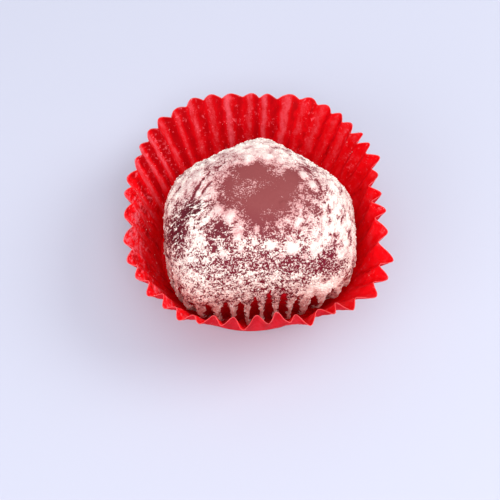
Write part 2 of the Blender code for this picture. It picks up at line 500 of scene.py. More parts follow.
# Lumps of flour: how much each adds, its place and its reach
LUMPS = (
    (0.60, (11.4, -10.4, 31.1), 1.0),
    (0.30, (0.4, -15.7, 29.7), 1.0),
    (0.45, (4.5, -16.0, 29.2), 1.3),
    (0.30, (9.6, -16.4, 28.4), 2.0),
    (0.36, (15.2, -15.9, 27.4), 2.0),
    (0.25, (21.0, -10.4, 26.8), 2.6),
    (0.15, (22.3, -14.8, 23.2), 1.8),
    (0.25, (20.4, -4.9, 27.8), 1.5),
    (0.50, (18.6, -21.0, 16.0), 2.2),
    (0.30, (7.3, -6.6, 32.4), 1.1),
    (0.28, (-0.8, 7.3, 31.9), 1.5),
    (0.28, (3.5, 8.3, 31.8), 1.5),
    (0.25, (6.8, 7.3, 31.5), 1.2),
    (0.40, (12.7, 2.9, 31.3), 1.4),
    (0.40, (14.9, 0.5, 30.8), 1.2),
    (0.30, (-3.9, -13.6, 30.9), 1.9),
    (0.22, (-5.9, -9.2, 31.9), 1.9),
    (0.20, (-8.4, -7.2, 31.8), 1.8),
    (0.20, (-3.2, -17.2, 28.7), 1.0),
    (0.20, (-7.4, -18.0, 28.0), 0.9),
    (0.22, (7.0, -18.0, 27.2), 0.9),
    (0.22, (12.4, -17.8, 26.2), 0.9),
    (0.20, (1.8, -18.6, 27.0), 0.8),
    (0.25, (0.9, -12.6, 31.2), 1.0),
)
# Creases in the flour: strength, and the places that each runs through
CREASES = (
    (1.00, ((-15.7, -3.1, 28.6), (-14.3, -0.2, 29.6), (-12.6, 2.4, 30.2), (-10.8, 4.3, 30.6))),
    (0.80, ((-13.0, -2.1, 30.3), (-12.0, -0.6, 30.7), (-10.7, 0.9, 31.1))),
    (0.70, ((-22.3, 0.2, 20.5), (-20.5, 1.5, 23.6), (-18.4, 3.4, 26.0))),
    (0.90, ((-10.1, 5.9, 30.4), (-8.6, 5.5, 31.0), (-7.3, 6.8, 30.9))),
    (0.75, (
        (11.9, 6.6, 30.3), (13.6, 5.9, 30.0), (15.1, 4.3, 30.0), (16.3, 1.9, 30.1),
        (17.2, -0.4, 30.0),
    )),
    (0.35, ((10.5, -3.0, 32.2), (13.0, -3.0, 31.7), (16.9, -1.7, 30.1))),
    (0.35, ((12.2, -4.5, 31.8), (11.7, -6.0, 31.8), (10.9, -7.4, 31.8))),
    (0.80, ((-11.2, -14.4, 29.4), (-9.5, -16.1, 29.3), (-9.0, -17.4, 28.6))),
    (0.80, ((-23.0, -8.8, 13.6), (-21.6, -13.3, 18.2), (-19.8, -16.8, 19.8))),
)
# Where the flour is thinner, and then where it is thicker: by how much, place, reach
THIN_PLACES = (
    (0.60, (-8.8, -12.4, 30.7), (1.8, 1.8, 1.6)),
    (0.45, (-6.1, -15.6, 30.0), (1.8, 1.3, 1.6)),
    (0.40, (-6.9, -5.6, 32.1), (2.6, 1.1, 1.5)),
    (0.22, (-3.2, -19.5, 27.0), (3.0, 2.0, 2.5)),
    (0.30, (7.5, -19.7, 25.4), (3.5, 2.0, 2.0)),
    (0.35, (12.9, -18.7, 25.5), (3.0, 1.6, 1.5)),
    (0.35, (18.6, -18.6, 22.6), (2.0, 2.0, 2.5)),
    (0.32, (1.5, -12.2, 31.4), (5.5, 2.2, 2.0)),
    (0.22, (9.0, -13.0, 30.5), (5.0, 2.4, 2.0)),
    (0.42, (12.5, -1.5, 31.2), (5.5, 9.0, 3.5)),
    (0.12, (3.0, -14.0, 30.6), (9.0, 2.6, 2.4)),
    (0.22, (7.7, -19.6, 25.4), (3.4, 2.0, 2.4)),
    (0.26, (20.0, -18.8, 20.5), (2.8, 2.5, 4.0)),
    (0.20, (14.0, -19.5, 23.0), (3.5, 2.0, 3.0)),
    (0.34, (19.0, -15.6, 25.6), (2.4, 2.6, 2.6)),
    (0.35, (12.4, -16.0, 28.2), (0.8, 1.6, 1.6)),
    (0.16, (-8.0, -22.0, 23.5), (5.0, 3.0, 3.5)),
    (0.20, (7.0, -22.8, 18.5), (3.0, 2.0, 2.5)),
    (0.12, (-1.0, -18.5, 27.5), (3.5, 2.0, 2.5)),
    (0.30, (-4.8, -6.6, 32.5), (2.6, 2.0, 2.0)),
    (0.10, (-9.5, 1.0, 31.4), (2.6, 5.0, 2.6)),
    (0.10, (-6.0, 8.5, 31.0), (4.0, 2.0, 2.5)),
    (0.25, (8.8, -5.2, 32.3), (2.2, 3.0, 2.0)),
    (0.30, (1.5, 5.8, 32.2), (3.5, 1.5, 2.0)),
)
WHITE_PLACES = (
    (0.20, (-12.9, -15.2, 28.2), (3.4, 3.0, 3.0)),
    (0.14, (-0.8, -21.5, 24.1), (2.2, 2.0, 2.2)),
    (0.12, (7.0, -21.3, 22.4), (2.4, 1.8, 1.6)),
    (0.12, (-17.0, -18.0, 20.5), (2.6, 3.0, 3.5)),
    (0.10, (-5.0, -23.0, 19.0), (3.0, 2.0, 2.5)),
    (0.06, (-13.5, -21.5, 23.5), (2.5, 2.5, 3.0)),
)
# Where the flour is evened out round the bare patch, and where the dough under it is rosy
THINNED_PLACE = ((1.8, -2.0, 33.0), (14.0, 12.0, 9.0))
ROSY_PLACE = ((3.0, -1.0, 33.0), (15.0, 12.0, 9.0))
# Cracked flour: how cracked it is, how much of it is lost, place and reach. Then the streaked
# shoulder and the brushed place, and the ways that cracks, streaks and strokes run
CRACKED_PLACES = (
    (1.00, 0.62, (-15.3, -5.8, 28.4), (4.8, 2.3, 3.5)),
    (1.00, 0.95, (-19.2, -9.6, 24.4), (3.2, 4.4, 4.0)),
    (0.60, 0.35, (-22.6, -7.4, 18.5), (3.0, 4.0, 4.0)),
    (0.60, -0.12, (-13.8, -9.8, 28.8), (2.8, 2.2, 3.0)),
    (0.50, 0.45, (-7.8, -12.8, 30.6), (3.0, 2.2, 2.5)),
)
RIGHT_SHOULDER = ((21.0, -8.0, 27.0), (4.5, 10.0, 7.0))
BRUSHED_PLACE = ((-15.5, 2.5, 28.0), (6.0, 5.0, 6.0))
CRACK_RUN = (0.77, 0.05, 0.64)
SHOULDER_RUN = (0.15, 1.0, -0.35)
BRUSHED_RUN = (0.54, 0.81, 0.22)
# Where flour fills the grooves between the ribs
UNRIBBED_PLACES = (
    ((-16.5, -19.5, 8.0), (5.5, 5.0, 9.0)),
    ((21.5, -17.0, 9.0), (4.5, 4.5, 8.0)),
)
# Corners where the flour lies thick and smooth: how much more of it, place, reach
SMOOTH_CORNERS = (
    (0.70, (18.0, -21.3, 16.6), (5.0, 4.0, 3.4)),
    (0.15, (-20.5, -18.0, 13.5), (4.0, 6.0, 7.0)),
    (0.20, (-0.8, 12.0, 30.0), (9.0, 4.0, 6.0)),
)

# Patterns in the flour: each noise's size in millimetres, its layers and its seed
CLOUDS = (8.0, 2, 3)
CLUMPS = (2.4, 3, 5)
CLOD_OUTLINES = (1.5, 2, 6)
GRAINY_SURFACE = (1.0, 2, 8)
PATCH_EDGE = (3.0, 4, 11)
FLAKES = (0.9, 2, 17)
CREASE_SWAY = (1.2, 3, 23)
GROOVE_STARTS = (1.6, 3, 29)
CREASE_BREAKS = (1.3, 3, 33)
SWELLS = (10.0, 2, 37)
GROOVE_SWAY = (1.8, 3, 53)
FOOT_SURFACE = (1.8, 2, 57)
LUMP_OUTLINES = (2.0, 2, 59)
START_SEED = 45

# The clods: the size of the lattice that they lie on, its seed, and a clod's radius in cubes
CLODS = (2.3, 7)
CLOD_RADIUS = 0.55

# The bare patch: its edge in half widths of the ellipses, how ragged that is, and the heights
# between which it fades in
PATCH_REACH = 1.70
PATCH_RAGGEDNESS = 0.34
PATCH_HEIGHTS = (20.0, 26.0)

# How far forward the front begins and is full, and the same going down for the ribs and the
# grooves; then what the grooves' start gains or loses by pleat and by place, and their sway
FRONT = (12.0, 17.0)
RIBS = (-15.0, -9.0)
GROOVES = (-17.5, -7.0)
START_BY_PLEAT = 2.0
START_BY_PLACE = 1.8
GROOVE_SWAY_DEG = 1.3

# A crease's width, and by how much outlines are shaken, in millimetres
CREASE_WIDTH = 0.30
CREASE_SHAKE = 0.6
LUMP_SHAKE = 0.35
CLOD_SHAKE = 0.5

# How thick the flour lies, where 1 is a thick coat and the dough shows up to a thickness close
# to 0, and how speckled it is
DOUGH_SHOWS = 0.06
USUAL_COAT = 0.45
COAT_LOST_IN_FRONT = 0.11
CLOUD_COAT = 0.12
CLUMP_COAT = 0.20
MORE_CLUMPS_IN_FRONT = 0.14
CLOD_COAT = 0.95
SHOULDER_COAT = 0.08
BRUSHED_OFF = 0.10
CREASE_LOSS = 1.8
BARE_LOSS = 0.80
VEIL_COAT = 0.72
# More flour on the ribs low down, partly there and partly painted light that lifts them out of
# the case's shade
RIB_COAT_AND_LIGHT = 0.70
# Flour taken off the grooves, partly bare dough and partly painted shade there
GROOVE_LOSS = 2.2
USUAL_GRAIN = 0.55
MORE_GRAIN_IN_FRONT = 0.50

# How far each form in the flour stands out or lies back, in millimetres
COAT_RELIEF = 0.20
LUMP_RELIEF = 0.30
CREASE_RELIEF = 0.22
CLOD_RELIEF = 0.22
FLAKE_RELIEF = 0.14
GROOVE_RELIEF = 0.15
SMOOTH_RELIEF = 0.03
GRAINY_RELIEF = 0.07
SWELL_RELIEF = 0.22
FOOT_RELIEF = 0.22


def near(points, place, reach):
    """1 at a place, falling off like a bell over a reach, which may differ by axis."""
    away = (points - np.asarray(place)) / np.asarray(reach)
    return np.exp(-(away ** 2).sum(axis=-1))


def along_line(points, line, width):
    """1 on a line through places, falling off like a bell over a width on both sides."""
    nearest = np.full(points.shape[:-1], np.inf)
    for start, end in zip(np.array(line[:-1]), np.array(line[1:])):
        step = end - start
        share = np.clip((points - start) @ step / (step @ step), 0.0, 1.0)
        away = points - start - share[..., None] * step
        nearest = np.minimum(nearest, np.linalg.norm(away, axis=-1))
    return np.exp(-(nearest / width) ** 2)


def drawn_out(points, axis, times):
    """Places squeezed along an axis, so that noise read there comes out drawn out along it."""
    axis = np.asarray(axis) / np.linalg.norm(axis)
    return points - (1.0 - 1.0 / times) * (points @ axis)[..., None] * axis


def shaken(points, amount, pattern):
    """Places moved by a noise times an amount in millimetres, for uneven outlines."""
    return points + amount * layered_noise(points, *pattern)[..., None]


def added_up(points, places):
    """Sum of bells, each with its height, place and reach."""
    return sum(height * near(points, place, reach) for height, place, reach in places)


def bare_patch(points):
    """1 inside a patch made of several ellipses seen from above, with a ragged edge."""
    inside = np.full(points.shape[:-1], np.inf)
    for centre, sizes in BARE_SPOTS:
        away = (points[..., :2] - np.asarray(centre)) / np.asarray(sizes)
        inside = np.minimum(inside, np.linalg.norm(away, axis=-1))
    ragged = PATCH_RAGGEDNESS * layered_noise(points, *PATCH_EDGE)
    fading = np.clip(PATCH_REACH - inside - ragged, 0.0, 1.0)
    return fading * ease(points[..., 2], *PATCH_HEIGHTS)


def cracked_flour(points):
    """How cracked the flour is, 0 to 1, the noise of its flakes, drawn out along the cracks,
    what the cracks change in the coat, and how much rougher they make it."""
    flakes = layered_noise(drawn_out(points, CRACK_RUN, 3.0), *FLAKES)
    cracked = np.zeros(points.shape[:-1])
    change = cracked
    rougher = cracked
    for part, loss, place, reach in CRACKED_PLACES:
        at_place = np.minimum(1.0, 1.4 * near(points, place, reach))
        cracked = np.maximum(cracked, part * at_place)
        change = change + at_place * (0.6 * part * flakes - loss)
        rougher = rougher + 0.8 * loss * at_place
    return cracked, flakes, change, rougher


def lumps_of_flour(points):
    """1 on each lump, with a flat top and an uneven outline, and what the lumps add."""
    uneven = shaken(points, LUMP_SHAKE, LUMP_OUTLINES)
    lumps = np.zeros(points.shape[:-1])
    heap = lumps
    for gain, place, size in LUMPS:
        lump = ease(near(uneven, place, (size,) * 3), 0.15, 0.75)
        lumps = np.maximum(lumps, lump)
        heap = np.maximum(heap, gain * lump)
    return lumps, heap


def creases_in_flour(points):
    """1 along each crease, which wanders and fades out here and there."""
    wander = shaken(points, CREASE_SHAKE, CREASE_SWAY)
    creases = np.zeros(points.shape[:-1])
    for strength, line in CREASES:
        creases = np.maximum(creases, strength * along_line(wander, line, CREASE_WIDTH))
    return creases * ease(layered_noise(points, *CREASE_BREAKS), -1.0, -0.1)


def bare_and_shaded_grooves(points, bearings):
    """1 in the grooves between the ribs, where the flour is taken off: partly bare dough and
    partly painted shade in the grooves. They start at uneven heights and widen downwards from
    there."""
    height = points[..., 2] + START_BY_PLEAT * by_pleat(bearings, START_SEED)
    height = height + START_BY_PLACE * layered_noise(points, *GROOVE_STARTS)
    swaying = bearings + GROOVE_SWAY_DEG * layered_noise(points, *GROOVE_SWAY)
    opening = ease(-height, *GROOVES)
    groove = ease(fold_inwards(swaying) + 0.85 * opening, 1.0, 1.25)
    for place, reach in UNRIBBED_PLACES:
        groove = groove * (1.0 - near(points, place, reach))
    return groove


def flour_on_cake(points, bearings):
    """The flour's marks and its relief. The coat is a usual thickness with clouds, clumps and
    clods, less in the thin places, the cracks and the creases and more in the white ones. The
    bare patch takes it away, and it is evened out round there. Lumps and ribs add to it and
    grooves take from it. The grain, how speckled it is, is less where the flour is smooth.
    The relief adds up, in millimetres, what each of these stands out from the cake's form."""
    y, z = points[..., 1], points[..., 2]
    front = ease(-y, *FRONT)
    clods = CLOD_RADIUS - cell_noise(shaken(points, CLOD_SHAKE, CLOD_OUTLINES), *CLODS)
    bare = bare_patch(points)
    thinned = ease(near(points, *THINNED_PLACE), 0.1, 0.6)
    veil = np.minimum(1.6 * added_up(points, VEILED_SPOTS), 1.0)
    brushed = near(points, *BRUSHED_PLACE)
    shoulder = near(points, *RIGHT_SHOULDER)
    cracked, flakes, change, rougher = cracked_flour(points)
    lumps, heap = lumps_of_flour(points)
    creases = creases_in_flour(points)
    groove = bare_and_shaded_grooves(points, bearings)
    rib = ease(-z, *RIBS)

    coat = USUAL_COAT - COAT_LOST_IN_FRONT * front + CLOUD_COAT * layered_noise(points, *CLOUDS)
    in_clumps = CLUMP_COAT + MORE_CLUMPS_IN_FRONT * front
    coat = coat + in_clumps * layered_noise(points, *CLUMPS)
    coat = coat + CLOD_COAT * clods * (1.0 - 0.4 * front) * (1.0 - 0.45 * brushed)
    coat = coat - added_up(points, THIN_PLACES) + added_up(points, WHITE_PLACES)
    coat = coat + added_up(points, SMOOTH_CORNERS) + change
    coat = coat + SHOULDER_COAT * shoulder - BRUSHED_OFF * brushed - CREASE_LOSS * creases
    coat = coat * (1.0 - bare) - bare * (BARE_LOSS - VEIL_COAT * veil)
    coat = DOUGH_SHOWS + (coat - DOUGH_SHOWS) * (1.0 - 0.6 * thinned)
    # The ribs' extra flour is partly painted light, and the grooves' lost flour is partly painted
    # shade.
    coat = coat + heap * (1.0 - bare) + RIB_COAT_AND_LIGHT * rib - GROOVE_LOSS * groove

    grain = USUAL_GRAIN + MORE_GRAIN_IN_FRONT * front
    grain = grain * (1.0 - 1.1 * np.clip(clods, 0.0, 0.6))
    for _, place, reach in SMOOTH_CORNERS:
        grain = grain * (1.0 - 0.7 * near(points, place, reach))
    grain = (grain + rougher) * (1.0 - 0.6 * brushed) * (1.0 - 0.5 * shoulder)
    grain = grain * (1.0 - 0.85 * lumps) * (1.0 - 0.6 * thinned) * (1.0 - 0.65 * veil * bare)
    grain = grain * (1.0 - 0.30 * np.maximum(groove, rib))

    relief = COAT_RELIEF * np.clip(coat, 0.0, 1.3) + LUMP_RELIEF * lumps
    relief = relief - CREASE_RELIEF * creases - GROOVE_RELIEF * groove
    relief = relief + CLOD_RELIEF * np.maximum(clods, -0.3) * (1.0 - bare)
    relief = relief + FLAKE_RELIEF * cracked * flakes
    roughness = SMOOTH_RELIEF + GRAINY_RELIEF * grain
    relief = relief + roughness * layered_noise(points, *GRAINY_SURFACE)
    relief = relief + SWELL_RELIEF * layered_noise(points, *SWELLS) * ease(z, 8.0, 16.0)
    near_foot = ease(-z, -17.0, -11.0)
    relief = relief + FOOT_RELIEF * layered_noise(points, *FOOT_SURFACE) * near_foot
    marks = {
        "coat": coat,
        "grain": grain,
        "rosy": np.minimum(1.3 * near(points, *ROSY_PLACE), 1.0),
        "cracked": cracked,
        "groove": groove,
        "shoulder": shoulder,
        "brushed": brushed,
        "veil": veil * bare,
    }
    return marks, relief


# The cake's grid, with the shares of its radius between which the foot's rows lie, and the
# relief that counts as none. Then the thickness at which each of the flour's colours begins to
# show, and the one at which it is full
CAKE_COLUMNS_PER_PLEAT = 10
CAKE_FOOT_ROWS = 5
CAKE_FOOT_SPAN = (0.1, 0.96)
CAKE_SIDE_ROWS = 50
CAKE_DOME_ROWS = 170
MIDDLE_RELIEF = 0.2
FLOUR_STEPS = (
    (-0.02, 0.14, THIN_FLOUR),
    (0.12, 0.45, SOFT_FLOUR),
    (0.42, 0.80, FLOUR),
    (0.95, 1.40, HEAPED_FLOUR),
)


def cake_rows(bearings):
    """The cake's bare form as one grid, from near the middle of its foot to near its top."""
    side = cake_side(bearings, np.linspace(0.0, 1.0, CAKE_SIDE_ROWS)[:, None])
    dome = cake_dome(bearings, np.linspace(0.0, 1.0, CAKE_DOME_ROWS + 1)[1:-1, None])
    foot = side[:1] * np.linspace(*CAKE_FOOT_SPAN, CAKE_FOOT_ROWS)[:, None, None]
    foot[..., 2] = CAKE_FLOOR
    return np.concatenate([foot, side, dome])


def add_cake():
    """The cake's form moved out along its normals by the flour's relief, except at its foot.
    Gives the grid and its coat, for the loose grains."""
    bearings = pleat_columns(CAKE_COLUMNS_PER_PLEAT)[None, :]
    form = cake_rows(bearings)
    marks, relief = flour_on_cake(form, bearings)
    above_foot = ease(form[..., 2], CAKE_FLOOR, CAKE_FLOOR + 1.0)
    points = form + grid_normals(form) * ((relief - MIDDLE_RELIEF) * above_foot)[..., None]
    top = (*CAKE_TOP, points[-1, :, 2].mean())
    cake = closed_grid("floured_cake", points, (0.0, 0.0, CAKE_FLOOR), top, marks)
    cake.data.materials.append(floury_dough())
    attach(cake, "root")
    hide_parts("mochi")
    return points, marks["coat"]


def floury_dough():
    """Dough that shows through the flour where the coat, with its speckle, is thin. The
    flour's colours follow one another as it gets thicker."""
    paint = Paint("floury_dough")
    specks = paint.noise(SPECKS)
    dots = paint.noise(DOTS)
    clumps = paint.noise(SPECK_CLUMPS)
    flakes = paint.noise(THIN_FLAKES, paint.drawn_out(CRACK_RUN, 2.8))
    streaks = paint.noise(STREAKS, paint.drawn_out(SHOULDER_RUN, 4.0))
    strokes = paint.noise(STREAKS, paint.drawn_out(BRUSHED_RUN, 5.0))
    speckle = paint.mark("grain") * (3.5 * specks + 2.7 * dots + clumps) + 0.3 * dots
    thickness = paint.mark("coat") + speckle
    thickness = thickness + 7.0 * paint.mark("cracked") * flakes
    thickness = thickness + 4.0 * paint.mark("shoulder") * streaks
    thickness = thickness + paint.mark("brushed") * strokes
    thickness = thickness + 0.5 * paint.mark("veil") * dots
    colour = paint.blend(paint.mark("rosy"), DARK_DOUGH, ROSE_DOUGH)
    colour = paint.blend(0.8 * paint.mark("cracked"), colour, CRACK_DOUGH)
    # Painted red glow in the grooves, for the light that the red paper throws there
    colour = paint.blend(paint.mark("groove"), colour, RED_GLOW_GROOVE_DOUGH)
    shares = []
    for begins, full, flour in FLOUR_STEPS:
        shares.append(paint.ease(thickness, begins, full))
        colour = paint.blend(shares[-1], colour, flour)
    thin, soft, thick = shares[:3]
    return paint.finish({
        "Base Color": colour,
        "Specular IOR Level": 0.2,
        "Roughness": 0.50 + 0.25 * thin + 0.2 * soft,
        "Normal": paint.bump(thin + soft + thick + 0.3 * dots, 0.07),
    })


# Loose flour: how many grains, their middle and largest radii, how unlike they are, and the
# first of three seeds, for their places, radii and forms
CAKE_GRAINS = (4000, 0.12, 0.28, 61)
CASE_GRAINS = (130, 0.06, 0.20, 71)
RADIUS_SPREAD = 0.45
GRAIN_JITTER = 0.12
GRAIN_FLATTENING = 0.35
GRAIN_SHOWS = 0.25


def small_grain():
    """Corners and faces of a twenty-sided grain of radius 1."""
    grain = bmesh.new()
    bmesh.ops.create_icosphere(grain, subdivisions=1, radius=1.0)
    corners = np.array([corner.co for corner in grain.verts])
    faces = np.array([[corner.index for corner in face.verts] for face in grain.faces])
    grain.free()
    return corners, faces


def random_turns(draw, count):
    """Random turns as matrices, from four-part numbers of length 1."""
    w, x, y, z = np.moveaxis(draw.normal(size=(count, 4)), 1, 0)
    length = np.sqrt(w * w + x * x + y * y + z * z)
    w, x, y, z = w / length, x / length, y / length, z / length
    rows = (
        (1 - 2 * (y * y + z * z), 2 * (x * y - z * w), 2 * (x * z + y * w)),
        (2 * (x * y + z * w), 1 - 2 * (x * x + z * z), 2 * (y * z - x * w)),
        (2 * (x * z - y * w), 2 * (y * z + x * w), 1 - 2 * (x * x + y * y)),
    )
    return np.moveaxis(np.array(rows), -1, 0)


def add_grains(name, places, outwards, radii, seed):
    """One mesh of many grains: each is the twenty-sided grain with its corners moved in or out
    by up to a third, turned at random, flattened along the surface's normal, and sunk till
    its middle is a quarter of its radius above the surface."""
    draw = np.random.default_rng(seed)
    corners, faces = small_grain()
    count = len(places)
    uneven = corners * draw.uniform(0.67, 1.33, size=(count, len(corners), 1))
    turned = np.einsum("nij,nkj->nki", random_turns(draw, count), uneven) * radii[:, None, None]
    height = np.einsum("nki,ni->nk", turned, outwards)
    squat = turned - GRAIN_FLATTENING * height[..., None] * outwards[:, None, :]
    vertices = squat + (places + GRAIN_SHOWS * radii[:, None] * outwards)[:, None, :]
    every_face = faces[None] + len(corners) * np.arange(count)[:, None, None]
    grains = shaped_mesh(
        name,
        (vertices.reshape(-1, 3) + CASE_CENTRE) * MM,
        every_face.ravel(),
        np.full(count * len(faces), 3),
        {},
    )
    grains.data.materials.append(dry_flour(name))
    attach(grains, "root")


def pick_places(points, share, count, seed):
    """Random places on a grid, as likely as the area there times a share, each moved a little
    along the surface, with the outward directions there."""
    draw = np.random.default_rng(seed)
    crossed = grid_crosses(points)
    likely = (np.linalg.norm(crossed, axis=-1) * share).ravel()
    picked = draw.choice(likely.size, size=count, p=likely / likely.sum())
    outwards = grid_normals(points).reshape(-1, 3)[picked]
    jitter = draw.normal(scale=GRAIN_JITTER, size=(count, 3))
    jitter = jitter - (jitter * outwards).sum(axis=-1, keepdims=True) * outwards
    return points.reshape(-1, 3)[picked] + jitter, outwards


def grain_radii(count, middle, most, seed):
    """Radii spread round a middle one, many small and few large."""
    draw = np.random.default_rng(seed)
    return np.minimum(middle * np.exp(RADIUS_SPREAD * draw.normal(size=count)), most)


def scatter_flour(name, points, share, side, count, middle, most, seed):
    """Grains on a grid's outer side (1) or inner side (-1), as likely as a share says."""
    places, outwards = pick_places(points, share, count, seed)
    radii = grain_radii(count, middle, most, seed + 1)
    add_grains(name, places, side * outwards, radii, seed + 2)


def add_flour_on_cake(points, coat):
    """Grains where the coat is thick, and none low down beside the case."""
    share = np.clip(coat - 0.25, 0.0, 1.0) ** 2 * ease(points[..., 2], 6.0, 20.0)
    scatter_flour("flour_grains", points, share, 1.0, *CAKE_GRAINS)


def dry_flour(name):
    """Dull white flour with faint rosy shades."""
    paint = Paint(name)
    tint = paint.ease(paint.noise(TINTS), -0.15, 0.15)
    colour = paint.blend(tint, GRAIN_SHADE, GRAIN_LIGHT)
    return paint.finish({"Base Color": colour, "Roughness": 0.95})


# The case's grid, with the shares of its radius between which the base's rows lie, and how far
# up the wall the row under its cut edge is
CASE_COLUMNS_PER_PLEAT = 14
CASE_BASE_ROWS = 5
CASE_BASE_SPAN = (0.15, 0.985)
CASE_WALL_ROWS = 62
EDGE_ROW = 0.990

# Crinkles, longer up the wall, and waves in the paper: how deep, and how far up they set in
CRINKLE_SQUEEZE = (1.0, 1.0, 0.4)
CRINKLE_DEPTH = 0.10
WAVE_DEPTH = 0.12
CRINKLED_FROM = (0.02, 0.3)

# The rim curls out from one share of the wall on, and would be fully curled at another, past
# the rim. Then how unlike one pleat is to the next in sway, tilt, height and depth
RIM_CURL = 0.5
CURL_START = 0.72
CURL_END = 1.3
PLEAT_SWAY_DEG = 0.8
PLEAT_TILT_DEG = 1.3
PLEAT_HEIGHT_SPREAD = 0.010
PLEAT_DEPTH_SPREAD = 0.14

# By bearing, in twelve stations round the turn, the first at the right and the fourth at the
# back: how broad folds are outside, how late up the wall they deepen, the share that they have of
# the solid's depth, how dusty they are, how much shade is painted on them inside in deep red, how
# strongly sheen and shade are painted up their two sides, and the foot's bulge
LOBE_POWER = (1.45, 1.3, 1.1, 1.05, 1.0, 0.95, 0.9, 1.05, 1.7, 1.9, 1.7, 1.45)
LATE_FOLDS = (1.8, 1.0, 0.4, 0.15, 0.2, 0.6, 0.9, 0.9, 0.7, 0.5, 1.2, 1.8)
DEPTH_LEFT = (1.0, 1.0, 0.95, 0.90, 0.95, 0.95, 0.92, 0.92, 0.95, 1.0, 1.0, 1.0)
DUST_BY_BEARING = (0.12, 0.10, 0.12, 0.08, 0.12, 0.30, 0.48, 0.48, 0.30, 0.10, 0.12, 0.14)
PAINTED_SHADE_BY_BEARING = (0.0, 0.15, 0.45, 0.65, 0.65, 0.40, 0.0, 0.0, 0.0, 0.0, 0.0, 0.0)
FOLD_SHADING_BY_BEARING = (0.05, 0.15, 0.50, 0.85, 1.40, 1.20, 0.40, 0.25, 0.20, 0.15, 0.05, 0.05)
FOOT_BULGE = (0.0, 0.0, 0.0, 0.0, 0.0, 0.0, 0.0, 0.2, 0.6, 0.2, 0.0, 0.0)

# How far past an outward fold lies its lit side, where the sheen is painted, in radians, half a
# turn being the next fold
LIT_SIDE = 0.9

# Seeds of what differs from pleat to pleat
DEPTH_SEED = 41
HEIGHT_SEED = 42
TILT_SEED = 43
SWAY_SEED = 44
LIT_SHARE_SEED = 46
FOLD_SHADING_STRENGTH_SEED = 47
LIT_SIDE_SEED = 48

# Patterns on the paper: each noise's size in millimetres, its layers and its seed
CRINKLES = (1.6, 2, 21)
WAVES = (4.0, 1, 25)
DUST_CLOUDS = (6.0, 2, 31)
GATHERED_FLOUR = (3.5, 2, 75)


def pleat_phase(bearings, part_way):
    """0 on each outward fold, half a turn on each inward one, swaying towards the rim."""
    sway = bearings + PLEAT_SWAY_DEG * by_pleat(bearings, SWAY_SEED) * part_way
    return np.radians(PLEATS * even_bearings(sway))


def sheen_and_shade_on_folds(bearings, part_way):
    """Above 0 up one side of each outward fold, its lit side, where a sheen is painted, and below
    0 up the other side, where shade is painted in deep red."""
    side = LIT_SIDE + 0.5 * by_pleat(bearings, LIT_SIDE_SEED)
    wave = np.cos(pleat_phase(bearings, part_way) - side)
    wave = wave + 0.25 * by_pleat(bearings, LIT_SHARE_SEED)
    strength = 1.0 + 0.25 * by_pleat(bearings, FOLD_SHADING_STRENGTH_SEED)
    strength = strength * round_the_turn(FOLD_SHADING_BY_BEARING, bearings)
    return wave * strength * ease(part_way, -0.15, 0.65)


def worn_wall(bearings, part_way):
    """The solid's wall, with each pleat a little deeper, wider, taller or more tilted than
    the next, folds broader outside than inside, a rim that curls out and a bulging foot."""
    tilt = np.radians(PLEAT_TILT_DEG) * by_pleat(bearings, TILT_SEED)
    lean = wall_lean(bearings) + tilt * part_way
    taller = 1.0 + PLEAT_HEIGHT_SPREAD * by_pleat(bearings, HEIGHT_SEED)
    along = part_way * WALL_SLOPE_LENGTH * taller
    wave = np.abs(np.cos(0.5 * pleat_phase(bearings, part_way)))
    inwards = 1.0 - wave ** round_the_turn(LOBE_POWER, bearings)
    deeper = 1.0 + PLEAT_DEPTH_SPREAD * by_pleat(bearings, DEPTH_SEED) * part_way
    depth = pleat_depth(bearings, part_way) * deeper * round_the_turn(DEPTH_LEFT, bearings)
    depth = depth * part_way ** round_the_turn(LATE_FOLDS, bearings)
    curl = RIM_CURL * ease(part_way, CURL_START, CURL_END)
    radii = CASE_BASE_RADIUS + along * np.sin(lean) - depth * inwards + curl
    radii = radii + round_the_turn(FOOT_BULGE, bearings) * (1.0 - part_way) ** 2
    return around(bearings, radii, along * np.cos(lean))


